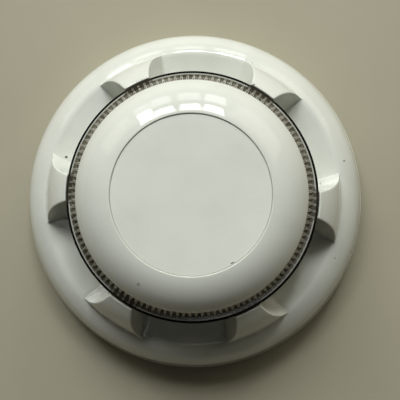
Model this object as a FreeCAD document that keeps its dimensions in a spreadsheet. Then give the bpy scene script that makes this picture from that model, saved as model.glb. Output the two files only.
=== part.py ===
import FreeCAD, Part
import math
import os
from types import SimpleNamespace

import Sketcher
from FreeCAD import Placement, Rotation, Vector

# Photoelectric point smoke detector on its mounting base, lying on its back.
# Millimetres and degrees. Origin: centre of the back face. +Z points to the lamp dome.
# +X runs through the middle of one of the six buttresses.

SIZES = [
    # Mounting base
    ("base_radius", 55.0, "outer radius of the mounting base"),
    ("base_plate", 2.0, "thickness of the base plate"),
    ("base_lip", 1.2, "height of the upright part of the base's edge"),
    ("cable_radius", 9.0, "cable entry in the middle of the base"),
    ("collar_wall", 1.5, "wall of the collar round the cable entry"),
    ("collar_height", 1.5, "height of that collar over the plate"),
    ("spigot_wall", 1.4, "wall of the ring that centres the head"),
    ("spigot_height", 3.0, "height of that ring over the plate"),
    ("spigot_clearance", 0.5, "radial gap between that ring and the skirt"),
    ("slot_spacing", 60.0, "distance between the two ceiling screw slots"),
    ("slot_length", 10.0, "end to end length of a ceiling screw slot"),
    ("slot_half_width", 2.25, "half the width of a ceiling screw slot"),
    ("base_cavity", 5.2, "room between the base plate and the rear plate"),
    # Bayonet
    ("lug_count", 3, "bayonet lugs and hooks"),
    ("lug_angle", 30.0, "direction of the first lug"),
    ("lug_inner", 42.0, "inner radius of a lug's stem"),
    ("lug_stem", 1.4, "thickness of a lug's stem"),
    ("lug_reach", 2.8, "how far a lug's foot reaches outward"),
    ("lug_foot", 1.2, "thickness of a lug's foot"),
    ("lug_floor_gap", 1.2, "gap under a lug's foot"),
    ("lug_half_angle", 6.5, "half the width of a lug"),
    ("hook_gap", 0.3, "gap between a lug's foot and the hook's roof"),
    ("hook_side_gap", 0.6, "radial gap on each side of a lug's foot"),
    ("hook_wall", 1.6, "thickness of a hook's wall"),
    ("hook_roof", 1.7, "thickness of a hook's roof"),
    ("hook_half_angle", 9.0, "half the width of a hook"),
    ("stop_angle", 2.0, "width of the stop at a hook's closed end"),
    # Terminals
    ("terminal_angle", 45.0, "direction of the first terminal"),
    ("block_inner", 16.5, "inner end of a terminal block"),
    ("block_length", 11.0, "radial length of a terminal block"),
    ("block_width", 9.0, "width of a terminal block"),
    ("block_height", 1.4, "height of a terminal block over the plate"),
    ("screw_position", 21.5, "radius at which the terminal screws stand"),
    ("screw_shank", 1.9, "radius of a terminal screw's shank"),
    ("screw_head", 3.1, "radius of a terminal screw's head"),
    ("screw_head_height", 1.5, "height of a terminal screw's head"),
    ("screw_slot", 0.8, "width and depth of the slot in a screw head"),
    ("screw_sink", 0.8, "how far a terminal screw goes into the plate"),
    ("hole_clearance", 0.1, "radial clearance of a screw in its hole"),
    ("clamp_width", 7.6, "side of a square clamp plate"),
    ("clamp_thickness", 0.8, "thickness of a clamp plate"),
    ("spring_thickness", 0.5, "thickness of a contact spring"),
    ("spring_width", 6.0, "width of a contact spring"),
    ("spring_tongue", 8.0, "length of a spring's free tongue"),
    ("spring_rise", 0.9, "height of the tongue's crest over its root"),
    ("spring_setback", 0.5, "how far a spring starts outside its block's inner end"),
    ("contact_gap", 0.3, "gap between a spring's crest and a blade"),
    ("blade_length", 5.0, "radial length of a contact blade"),
    ("blade_thickness", 0.8, "thickness of a contact blade"),
    ("blade_clearance", 0.1, "clearance of a blade in its slot"),
    # Outer housing
    ("seam_gap", 0.3, "gap between the base and the housing's skirt"),
    ("skirt_inset", 0.4, "how far the skirt stands inside the base's edge"),
    ("skirt_height", 9.5, "height at which the skirt turns into the rim's round"),
    ("skirt_draft", 12.4, "lean of the skirt"),
    ("rim_round", 11.3, "radius of the rim's round"),
    ("housing_wall", 1.8, "wall of the housing"),
    ("ridge_radius", 45.8, "radius of the ridge between rim and inlets"),
    ("inlet_inner", 31.2, "radius of the opening for the smoke chamber"),
    ("floor_wall", 1.9, "thickness of the inlet floor at its inner edge"),
    ("seat_width", 3.8, "width of the seat under the inlet floor"),
    ("buttress_count", 6, "buttresses, and inlets between them"),
    ("foot_angle", 13.7, "half the angle that a buttress takes at its foot"),
    ("foot_round", 2.0, "radius of the fillet at a buttress's foot"),
    ("foot_turn", 60.0, "angle that this fillet turns through"),
    ("wall_flare", 4.9, "how far a side wall leans in from foot to crown"),
    ("wall_round", 45.0, "radius of a side wall's hollow curve"),
    ("face_round", 22.6, "radius of a buttress's bulging face"),
    ("face_foot", 0.4, "how far the face starts outside the ridge"),
    ("crown_height", 32.3, "height of the buttresses' inner edge"),
    ("crown_width", 0.3, "width of that edge"),
    ("cover_step", 1.1, "depth of the step that the chamber cover sits in"),
    ("hollow_inner", 36.6, "inner end of the hollow in a buttress"),
    ("hollow_outer", 44.2, "outer end of the hollow in a buttress"),
    ("hollow_top", 27.0, "height of the hollow at its inner end"),
    ("hollow_low", 19.0, "height of the hollow at its outer end"),
    ("hollow_narrow", 3.2, "half width of the hollow at its highest end"),
    ("hollow_wide", 6.6, "half width of the hollow's top at its outer end"),
    # Rear plate and circuit board
    ("rear_thickness", 1.6, "thickness of the rear plate"),
    ("rear_clearance", 0.5, "gap between the rear plate and the skirt"),
    ("boss_position", 41.0, "radius at which the rear screws stand"),
    ("boss_radius", 3.0, "radius of the bosses that take the rear screws"),
    ("boss_angle", 90.0, "direction of the first boss"),
    ("rear_screw_shank", 1.3, "radius of a rear screw's shank"),
    ("rear_screw_head", 2.6, "radius of a rear screw's head"),
    ("rear_screw_head_height", 1.6, "height of a rear screw's head"),
    ("rear_screw_depth", 4.5, "how far a rear screw goes into its boss"),
    ("post_radius", 2.0, "radius of the posts that carry the board"),
    ("post_position", 33.0, "radius at which those posts stand"),
    ("board_gap", 2.0, "room between the rear plate and the board"),
    ("board_thickness", 1.6, "thickness of a circuit board"),
    ("board_inset", 11.1, "distance from the skirt's foot to the main board's edge"),
    ("board_notch", 3.5, "radius of the notches round the bosses"),
    ("component_gap", 0.7, "gap between a component and the ends of its hollow"),
    ("can_height", 5.8, "height of the capacitor"),
    ("can_neck", 0.3, "depth of the groove round the capacitor"),
    ("tube_radius", 1.1, "radius of the reed switch"),
    ("tube_length", 13.0, "length of the reed switch"),
    ("tube_tip", 0.6, "length of its tapered ends"),
    ("coil_height", 4.2, "height of the coil"),
    ("coil_flange", 1.0, "thickness of the coil's flanges"),
    ("chip_side", 7.0, "side of the microcontroller"),
    ("chip_gap", 0.5, "gap between the microcontroller and the rear plate"),
    # Smoke chamber
    ("flange_thickness", 1.2, "thickness of the chamber base's flange"),
    ("flange_radius", 34.5, "radius of the chamber base's flange"),
    ("chamber_clearance", 0.3, "gap between chamber base and housing"),
    ("screen_radius", 30.0, "outer radius of the insect screen"),
    ("screen_wall", 0.6, "thickness of the insect screen"),
    ("screen_windows", 40, "windows round the insect screen"),
    ("window_width", 2.8, "width of a window"),
    ("window_frame", 1.6, "height of the screen's closed bands"),
    ("screen_gap", 0.3, "radial gap between screen and chamber"),
    ("maze_inner", 20.6, "inner radius of the labyrinth's floor ring"),
    ("maze_floor", 1.0, "thickness of the labyrinth's floor ring"),
    ("vane_count", 18, "vanes in the labyrinth"),
    ("vane_thickness", 1.0, "thickness of a vane"),
    ("vane_step", 3.4, "how far a vane leans sideways before its bend"),
    ("lid_thickness", 1.4, "thickness of the chamber lid"),
    ("optic_height", 5.0, "height of the optical axis over the chamber floor"),
    ("lamp_radius", 2.5, "radius of the infrared emitter and the lens"),
    ("holder_front", 12.0, "distance of a holder's mouth from the middle"),
    ("holder_length", 6.5, "length of a holder"),
    ("holder_half_width", 3.8, "half width of a holder"),
    ("emitter_angle", 180.0, "direction of the emitter"),
    ("receiver_angle", 50.0, "direction of the receiver"),
    ("lead_width", 0.5, "side of a component's lead"),
    ("lead_pitch", 2.54, "distance between two leads"),
    ("lens_cap", 0.8, "height of the receiver lens's bulge, and of its edge"),
    ("diode_length", 2.2, "length of the photodiode's package"),
    # Chamber cover, light ring, dome
    ("cover_thickness", 1.4, "thickness of the chamber cover"),
    ("cover_clearance", 0.2, "gap between the cover and its step"),
    ("cover_screw_position", 34.2, "radius at which the cover screws stand"),
    ("cover_screw_shank", 0.9, "radius of a cover screw's shank"),
    ("cover_screw_head", 1.7, "radius of a cover screw's head"),
    ("cover_screw_depth", 4.0, "how far a cover screw goes into a buttress"),
    ("ring_flange", 0.8, "thickness of the light ring's flange"),
    ("ring_inset", 0.8, "how far the flange stands inside the cover's edge"),
    ("ring_foot", 35.2, "radius of the ribs at the flange"),
    ("ring_height", 4.6, "height of the ribbed part of the light ring"),
    ("ring_wall", 1.9, "wall of the light ring at its top"),
    ("rib_count", 120, "ribs round the light ring"),
    ("rib_depth", 0.45, "depth of the grooves between the ribs"),
    ("crest_foot", 0.06, "half the share of the pitch that a crest takes at the flange"),
    ("crest_head", 0.26, "half that share at the dome"),
    ("dome_radius", 33.1, "radius of the dome's edge"),
    ("dome_edge", 0.7, "height of the upright part of that edge"),
    ("dome_rise", 7.3, "height of the dome over its edge"),
    ("dome_round", 12.5, "radius of the dome's round"),
    ("dome_wall", 2.0, "wall of the dome"),
    ("dome_spigot", 1.0, "depth of the dome's lip inside the light ring"),
    ("disc_radius", 22.3, "radius of the centre disc"),
    ("disc_thickness", 0.8, "thickness of the centre disc"),
    ("disc_sink", 0.4, "how far the disc lies under the dome's edge round it"),
    ("disc_clearance", 0.1, "gap round the centre disc"),
    ("dome_boss_position", 18.0, "radius at which the dome's bosses stand"),
    ("dome_boss_angle", 60.0, "direction of the first of them"),
    ("dome_boss_radius", 2.6, "radius of the dome's bosses"),
    ("dome_screw_depth", 6.0, "how far a dome screw goes into its boss"),
    ("lamp_board_radius", 29.9, "radius of the lamp board"),
    ("lamp_board_gap", 1.6, "height of the lamp board over the cover"),
    ("lamp_position", 27.6, "radius at which the indicator lamps stand"),
    ("lamp_side", 3.0, "side of an indicator lamp"),
    ("lamp_height", 1.0, "height of its square foot"),
    ("lamp_lens", 1.2, "radius of its lens"),
    ("ribbon_thickness", 0.3, "thickness of the ribbon between the boards"),
    ("ribbon_width", 5.0, "width of that ribbon"),
    ("ribbon_clearance", 0.2, "gap round the ribbon in its slots"),
]

doc = FreeCAD.newDocument("smoke_detector")
sheet = doc.addObject("Spreadsheet::Sheet", "Sizes")
for row, (alias, value, note) in enumerate(SIZES, 1):
    sheet.set(f"A{row}", alias)
    sheet.set(f"B{row}", str(value))
    sheet.setAlias(f"B{row}", alias)
    sheet.set(f"C{row}", note)
doc.recompute()


# Sizes that carry their number and the formula of sheet cells behind it
class Size:
    def __init__(self, number, formula):
        self.number = number
        self.formula = formula

    def __add__(self, other):
        return joined(self, "+", other, lambda a, b: a + b)

    def __radd__(self, other):
        return joined(other, "+", self, lambda a, b: a + b)

    def __sub__(self, other):
        return joined(self, "-", other, lambda a, b: a - b)

    def __rsub__(self, other):
        return joined(other, "-", self, lambda a, b: a - b)

    def __mul__(self, other):
        return joined(self, "*", other, lambda a, b: a * b)

    def __rmul__(self, other):
        return joined(other, "*", self, lambda a, b: a * b)

    def __truediv__(self, other):
        return joined(self, "/", other, lambda a, b: a / b)

    def __rtruediv__(self, other):
        return joined(other, "/", self, lambda a, b: a / b)

    def __neg__(self):
        return 0 - self


def sized(value):
    if isinstance(value, Size):
        return value
    return Size(float(value), f"{value}")


def joined(first, sign, second, rule):
    first = sized(first)
    second = sized(second)
    number = rule(first.number, second.number)
    return Size(number, f"({first.formula} {sign} {second.formula})")


def sine(angle):
    angle = sized(angle)
    return Size(math.sin(math.radians(angle.number)), f"sin({angle.formula} * 1deg)")


def cosine(angle):
    angle = sized(angle)
    return Size(math.cos(math.radians(angle.number)), f"cos({angle.formula} * 1deg)")


def tangent(angle):
    return sine(angle) / cosine(angle)


def root(value):
    value = sized(value)
    return Size(math.sqrt(value.number), f"sqrt({value.formula})")


s = SimpleNamespace(**{
    alias: Size(float(sheet.get(alias)), f"Sizes.{alias}") for alias, value, note in SIZES
})


# Document helpers
parts = []


def new_body(label):
    body = doc.addObject("PartDesign::Body", label)
    body.Label = label
    body.AllowCompound = True
    parts.append(body)
    return body


def origin_feature(body, role):
    for item in body.Origin.OriginFeatures:
        if item.Role == role:
            return item
    raise RuntimeError(f"{body.Label} has no {role}")


def bind(item, path, value, unit="mm"):
    item.setExpression(path, f"{sized(value).formula} * 1 {unit}")


def new_sketch(body, role, lift=0, turn=0):
    """A sketch on an origin plane, lifted along its normal after a turn about the upright axis."""
    sketch = body.newObject("Sketcher::SketchObject", f"{body.Label}_sketch")
    sketch.AttachmentSupport = [(origin_feature(body, role), "")]
    sketch.MapMode = "FlatFace"
    upright = Vector(0, 0, 1) if role == "XY_Plane" else Vector(0, 1, 0)
    sketch.AttachmentOffset = Placement(Vector(0, 0, 0), Rotation(upright, sized(turn).number))
    bind(sketch, "AttachmentOffset.Rotation.Angle", turn, "deg")
    if role == "XY_Plane":
        bind(sketch, "AttachmentOffset.Base.z", lift)
    else:
        bind(sketch, "AttachmentOffset.Base.x", sine(turn) * lift)
        bind(sketch, "AttachmentOffset.Base.z", cosine(turn) * lift)
    return sketch


def pin_point(sketch, curve, place, across, up):
    """Ties one point of a sketch to its coordinates."""
    for kind, axis, value in (("DistanceX", -2, across), ("DistanceY", -1, up)):
        value = sized(value)
        if abs(value.number) < 1e-9:
            sketch.addConstraint(Sketcher.Constraint("PointOnObject", curve, place, axis))
            continue
        index = sketch.addConstraint(Sketcher.Constraint(kind, -1, 1, curve, place, value.number))
        bind(sketch, f"Constraints[{index}]", value)


def outline(sketch, corners):
    """A closed outline. A corner is (across, up), or (across, up, radius) where an arc
    leads on to the next corner: counter-clockwise for a positive radius."""
    starts = []
    ends = []
    for index, corner in enumerate(corners):
        here = Vector(sized(corner[0]).number, sized(corner[1]).number, 0)
        following = corners[(index + 1) % len(corners)]
        there = Vector(sized(following[0]).number, sized(following[1]).number, 0)
        if len(corner) == 2:
            curve = sketch.addGeometry(Part.LineSegment(here, there), False)
            starts.append((curve, 1))
            ends.append((curve, 2))
            continue
        radius = sized(corner[2])
        side = 1 if radius.number > 0 else -1
        chord = there - here
        rise = math.sqrt(max(radius.number ** 2 - chord.Length ** 2 / 4, 0))
        normal = Vector(-chord.y, chord.x, 0).normalize()
        centre = (here + there) / 2 + normal * (rise * side)
        circle = Part.Circle(centre, Vector(0, 0, 1), abs(radius.number))
        first, last = (here, there) if side > 0 else (there, here)
        angles = [math.atan2((p - centre).y, (p - centre).x) for p in (first, last)]
        curve = sketch.addGeometry(Part.ArcOfCircle(circle, *angles), False)
        starts.append((curve, 1 if side > 0 else 2))
        ends.append((curve, 2 if side > 0 else 1))
        index = sketch.addConstraint(Sketcher.Constraint("Radius", curve, abs(radius.number)))
        bind(sketch, f"Constraints[{index}]", radius * side)
    for index, (curve, place) in enumerate(ends):
        after, start = starts[(index + 1) % len(starts)]
        sketch.addConstraint(Sketcher.Constraint("Coincident", curve, place, after, start))
    for (curve, place), corner in zip(starts, corners):
        pin_point(sketch, curve, place, corner[0], corner[1])


def circle(sketch, across, up, radius):
    radius = sized(radius)
    centre = Vector(sized(across).number, sized(up).number, 0)
    shape = Part.Circle(centre, Vector(0, 0, 1), radius.number)
    curve = sketch.addGeometry(shape, False)
    pin_point(sketch, curve, 3, across, up)
    index = sketch.addConstraint(Sketcher.Constraint("Radius", curve, radius.number))
    bind(sketch, f"Constraints[{index}]", radius)


def rectangle(sketch, low_across, low_up, high_across, high_up):
    outline(sketch, [
        (low_across, low_up),
        (high_across, low_up),
        (high_across, high_up),
        (low_across, high_up),
    ])


def sector(sketch, inner, outer, first, last):
    """A piece of a ring between two radii and two angles."""
    outline(sketch, [
        (inner * cosine(first), inner * sine(first)),
        (outer * cosine(first), outer * sine(first), outer),
        (outer * cosine(last), outer * sine(last)),
        (inner * cosine(last), inner * sine(last), -inner),
    ])


def feature(body, kind, sketch, **settings):
    item = body.newObject(f"PartDesign::{kind}", f"{body.Label}_{kind.lower()}")
    item.Profile = sketch
    for name, value in settings.items():
        setattr(item, name, value)
    sketch.Visibility = False
    return item


def revolve(body, sketch):
    return feature(body, "Revolution", sketch, ReferenceAxis=(sketch, ["V_Axis"]), Angle=360)


def extrude(body, kind, sketch, length, reverse=False):
    """A pad goes up from its sketch and a pocket goes down, unless reversed."""
    item = feature(body, kind, sketch, Type="Length", Length=sized(length).number, Reversed=reverse)
    bind(item, "Length", length)
    return item


def around(body, item, count):
    """Repeats a feature round the upright axis."""
    pattern = body.newObject("PartDesign::PolarPattern", f"{body.Label}_pattern")
    pattern.Originals = [item]
    pattern.Axis = (origin_feature(body, "Z_Axis"), [""])
    pattern.Angle = 360
    pattern.Occurrences = int(sized(count).number)
    pattern.setExpression("Occurrences", sized(count).formula)
    body.Tip = pattern
    return pattern


def turned(label, corners):
    """A body of revolution about the upright axis, with its outline as (radius, height)."""
    body = new_body(label)
    sketch = new_sketch(body, "XZ_Plane")
    outline(sketch, corners)
    revolve(body, sketch)
    return body


def turn_body(body, angle, reach=0, lift=0):
    """Turns a finished body about the upright axis, after moving it out along X."""
    angle = sized(angle)
    body.Placement = Placement(Vector(0, 0, 0), Rotation(Vector(0, 0, 1), angle.number))
    bind(body, "Placement.Rotation.Angle", angle, "deg")
    bind(body, "Placement.Base.x", cosine(angle) * reach)
    bind(body, "Placement.Base.y", sine(angle) * reach)
    bind(body, "Placement.Base.z", lift)


# Levels, from the back face up
skirt_level = s.base_plate + s.seam_gap
rear_level = s.base_plate + s.base_cavity
board_level = rear_level + s.rear_thickness + s.board_gap
board_top = board_level + s.board_thickness
seat_level = board_top + s.flange_thickness
floor_level = seat_level + s.floor_wall
cover_level = s.crown_height - s.cover_step
cover_top = cover_level + s.cover_thickness
ring_level = cover_top + s.ring_flange
dome_level = ring_level + s.ring_height
dome_top = dome_level + s.dome_edge + s.dome_rise
lid_level = cover_level - s.lid_thickness
optic_level = floor_level + s.optic_height
lamp_board_level = cover_top + s.lamp_board_gap
lamp_board_top = lamp_board_level + s.board_thickness

# Points of the rim's section
skirt_radius = s.base_radius - s.skirt_inset
turn_radius = skirt_radius - tangent(s.skirt_draft) * (s.skirt_height - skirt_level)
round_centre = turn_radius - s.rim_round * cosine(s.skirt_draft)
round_height = s.skirt_height - s.rim_round * sine(s.skirt_draft)
inner_round = s.rim_round - s.housing_wall


def on_round(radius, across):
    """Height of the rim's round, of a given radius, at a distance from the axis."""
    run = across - round_centre
    return round_height + root(radius * radius - run * run)


ridge_level = on_round(s.rim_round, s.ridge_radius)
floor_fall = (ridge_level - floor_level) / (s.ridge_radius - s.inlet_inner)


def floor_height(across):
    return floor_level + floor_fall * (across - s.inlet_inner)


def skirt_inside(height):
    """Inner radius of the skirt at a height."""
    return skirt_radius - s.housing_wall - tangent(s.skirt_draft) * (height - skirt_level)


# Mounting base: plate, collar, centring ring, terminal blocks, bayonet hooks
def make_mounting_base():
    spigot_top = s.base_plate + s.spigot_height
    spigot_outer = skirt_inside(spigot_top) - s.spigot_clearance
    spigot_inner = spigot_outer - s.spigot_wall
    edge = s.base_plate - s.base_lip
    body = turned("mounting_base", [
        (s.cable_radius, 0),
        (s.base_radius, 0),
        (s.base_radius, s.base_lip, edge),
        (s.base_radius - edge, s.base_plate),
        (spigot_outer, s.base_plate),
        (spigot_outer, spigot_top),
        (spigot_inner, spigot_top),
        (spigot_inner, s.base_plate),
        (s.cable_radius + s.collar_wall, s.base_plate),
        (s.cable_radius + s.collar_wall, s.base_plate + s.collar_height),
        (s.cable_radius, s.base_plate + s.collar_height),
    ])
    half = s.block_width / 2
    sketch = new_sketch(body, "XY_Plane", s.base_plate, s.terminal_angle)
    rectangle(sketch, s.block_inner, -half, s.block_inner + s.block_length, half)
    around(body, extrude(body, "Pad", sketch, s.block_height), 4)
    sketch = new_sketch(body, "XY_Plane", s.base_plate + s.block_height, s.terminal_angle)
    circle(sketch, s.screw_position, 0, s.screw_shank + s.hole_clearance)
    depth = s.block_height + s.screw_sink + s.hole_clearance * 4
    around(body, extrude(body, "Pocket", sketch, depth), 4)
    end = s.slot_length / 2 - s.slot_half_width
    middle = s.slot_spacing / 2
    width = s.slot_half_width
    for side in (1, -1):
        sketch = new_sketch(body, "XY_Plane", s.base_plate)
        near = middle - end
        far = middle + end
        if side < 0:
            near, far = -far, -near
        # a half round end is two quarter arcs, so that each keeps its centre
        outline(sketch, [
            (near, -width),
            (far, -width, width),
            (far + width, 0, width),
            (far, width),
            (near, width, width),
            (near - width, 0, width),
        ])
        extrude(body, "Pocket", sketch, s.base_plate)
    foot_outer = s.lug_inner + s.lug_stem + s.lug_reach
    wall_inner = foot_outer + s.hook_side_gap
    roof_inner = s.lug_inner + s.lug_stem + s.hook_side_gap
    roof_level = rear_level - hook_drop()
    first = s.lug_angle - s.hook_half_angle
    last = s.lug_angle + s.hook_half_angle
    sketch = new_sketch(body, "XY_Plane", s.base_plate)
    sector(sketch, wall_inner, wall_inner + s.hook_wall, first, last)
    wall_height = roof_level + s.hook_roof - s.base_plate
    around(body, extrude(body, "Pad", sketch, wall_height), s.lug_count)
    sketch = new_sketch(body, "XY_Plane", roof_level)
    sector(sketch, roof_inner, wall_inner + s.hook_wall, first, last)
    around(body, extrude(body, "Pad", sketch, s.hook_roof), s.lug_count)
    sketch = new_sketch(body, "XY_Plane", s.base_plate)
    sector(sketch, roof_inner, wall_inner + s.hook_wall, first, first + s.stop_angle)
    around(body, extrude(body, "Pad", sketch, wall_height), s.lug_count)


def hook_drop():
    """Depth of a hook's roof under the rear plate."""
    return s.base_cavity - s.lug_floor_gap - s.lug_foot - s.hook_gap


# Terminals: contact spring, clamp plate and screw on each block
spring_level = s.base_plate + s.block_height
clamp_level = spring_level + s.spring_thickness
crest_radius = s.block_inner + s.block_length + s.spring_tongue / 2


def make_contact_springs():
    start = s.block_inner + s.spring_setback
    bend = s.block_inner + s.block_length
    tip = bend + s.spring_tongue
    for number in range(4):
        body = new_body(f"contact_spring_{number + 1}")
        sketch = new_sketch(body, "XZ_Plane", -s.spring_width / 2)
        lower = [
            (start, spring_level),
            (bend, spring_level),
            (crest_radius, spring_level + s.spring_rise),
            (tip, spring_level),
        ]
        upper = [(across, up + s.spring_thickness) for across, up in reversed(lower)]
        outline(sketch, lower + upper)
        extrude(body, "Pad", sketch, s.spring_width)
        sketch = new_sketch(body, "XY_Plane", clamp_level)
        circle(sketch, s.screw_position, 0, s.screw_shank + s.hole_clearance)
        extrude(body, "Pocket", sketch, s.spring_thickness)
        turn_body(body, s.terminal_angle + number * 90)


def make_clamp_plates():
    half = s.clamp_width / 2
    for number in range(4):
        body = new_body(f"clamp_plate_{number + 1}")
        sketch = new_sketch(body, "XY_Plane", clamp_level)
        rectangle(sketch, s.screw_position - half, -half, s.screw_position + half, half)
        circle(sketch, s.screw_position, 0, s.screw_shank + s.hole_clearance)
        extrude(body, "Pad", sketch, s.clamp_thickness)
        turn_body(body, s.terminal_angle + number * 90)


def make_terminal_screws():
    """Four equal pan head screws with a slot."""
    body = new_body("terminal_screws")
    head_level = clamp_level + s.clamp_thickness
    head_top = head_level + s.screw_head_height
    foot = s.base_plate - s.screw_sink
    sketch = new_sketch(body, "XY_Plane", head_level, s.terminal_angle)
    circle(sketch, s.screw_position, 0, s.screw_head)
    around(body, extrude(body, "Pad", sketch, s.screw_head_height), 4)
    sketch = new_sketch(body, "XY_Plane", foot, s.terminal_angle)
    circle(sketch, s.screw_position, 0, s.screw_shank)
    around(body, extrude(body, "Pad", sketch, head_level - foot), 4)
    sketch = new_sketch(body, "XY_Plane", head_top, s.terminal_angle)
    half = s.screw_slot / 2
    reach = s.screw_head + s.screw_slot
    rectangle(sketch, s.screw_position - half, -reach, s.screw_position + half, reach)
    around(body, extrude(body, "Pocket", sketch, s.screw_slot), 4)


# Contact blades of the head: each stands in a slot of the rear plate, over a spring's crest
def make_contact_blades():
    low = spring_level + s.spring_rise + s.spring_thickness + s.contact_gap
    near = crest_radius - s.blade_length / 2
    half = s.blade_thickness / 2
    for number in range(4):
        body = new_body(f"contact_blade_{number + 1}")
        sketch = new_sketch(body, "XY_Plane", low)
        rectangle(sketch, near, -half, near + s.blade_length, half)
        extrude(body, "Pad", sketch, board_level - low)
        turn_body(body, s.terminal_angle + number * 90)


# Rear plate: closes the head, carries the lugs, the blades and the board
def make_rear_plate():
    rear_top = rear_level + s.rear_thickness
    radius = skirt_inside(rear_top) - s.rear_clearance
    body = new_body("rear_plate")
    sketch = new_sketch(body, "XY_Plane", rear_level)
    circle(sketch, 0, 0, radius)
    extrude(body, "Pad", sketch, s.rear_thickness)
    near = crest_radius - s.blade_length / 2 - s.blade_clearance
    half = s.blade_thickness / 2 + s.blade_clearance
    far = near + s.blade_length + s.blade_clearance * 2
    sketch = new_sketch(body, "XY_Plane", rear_top, s.terminal_angle)
    rectangle(sketch, near, -half, far, half)
    around(body, extrude(body, "Pocket", sketch, s.rear_thickness), 4)
    sketch = new_sketch(body, "XY_Plane", rear_top, s.boss_angle)
    circle(sketch, s.boss_position, 0, s.rear_screw_shank + s.hole_clearance)
    around(body, extrude(body, "Pocket", sketch, s.rear_thickness), 3)
    sketch = new_sketch(body, "XY_Plane", rear_top, s.lug_angle)
    circle(sketch, s.post_position, 0, s.post_radius)
    around(body, extrude(body, "Pad", sketch, s.board_gap), 3)
    foot_level = s.base_plate + s.lug_floor_gap
    stem_outer = s.lug_inner + s.lug_stem
    first = s.lug_angle - s.lug_half_angle
    last = s.lug_angle + s.lug_half_angle
    sketch = new_sketch(body, "XY_Plane", foot_level)
    sector(sketch, s.lug_inner, stem_outer, first, last)
    around(body, extrude(body, "Pad", sketch, rear_level - foot_level), s.lug_count)
    sketch = new_sketch(body, "XY_Plane", foot_level)
    sector(sketch, s.lug_inner, stem_outer + s.lug_reach, first, last)
    around(body, extrude(body, "Pad", sketch, s.lug_foot), s.lug_count)


def make_rear_screws():
    """Three equal screws that hold the rear plate to the housing's bosses."""
    body = new_body("rear_screws")
    sketch = new_sketch(body, "XY_Plane", rear_level, s.boss_angle)
    circle(sketch, s.boss_position, 0, s.rear_screw_head)
    around(body, extrude(body, "Pad", sketch, s.rear_screw_head_height, True), 3)
    sketch = new_sketch(body, "XY_Plane", rear_level, s.boss_angle)
    circle(sketch, s.boss_position, 0, s.rear_screw_shank)
    around(body, extrude(body, "Pad", sketch, s.rear_thickness + s.rear_screw_depth), 3)


# Outer housing: one moulding with rim, inlet floors and six hollow buttresses
def inlet_section(body, across):
    """Section across an inlet, square to its middle line, at a distance from the axis."""
    side = 360 / s.buttress_count / 2
    half = tangent(side - s.foot_angle) * across
    low = floor_height(across)
    sketch = new_sketch(body, "YZ_Plane", across, side)
    turn_side = s.foot_round * sine(s.foot_turn)
    turn_up = s.foot_round * (1 - cosine(s.foot_turn))
    crown = half + s.wall_flare
    top = s.crown_height + s.cover_step
    sink = s.floor_wall / 4
    outline(sketch, [
        (-half, low - sink),
        (half, low - sink),
        (half, low, s.foot_round),
        (half + turn_side, low + turn_up, s.wall_round),
        (crown, s.crown_height),
        (crown, top),
        (-crown, top),
        (-crown, s.crown_height, s.wall_round),
        (-half - turn_side, low + turn_up, s.foot_round),
        (-half, low),
    ])
    return sketch


def hollow_section(body, across, top, top_half):
    """Section of the hollow in a buttress."""
    half = tangent(s.foot_angle) * across - s.housing_wall
    sketch = new_sketch(body, "YZ_Plane", across)
    outline(sketch, [
        (-half, board_top),
        (half, board_top),
        (half, seat_level),
        (top_half, top),
        (-top_half, top),
        (-half, seat_level),
    ])
    return sketch


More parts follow.
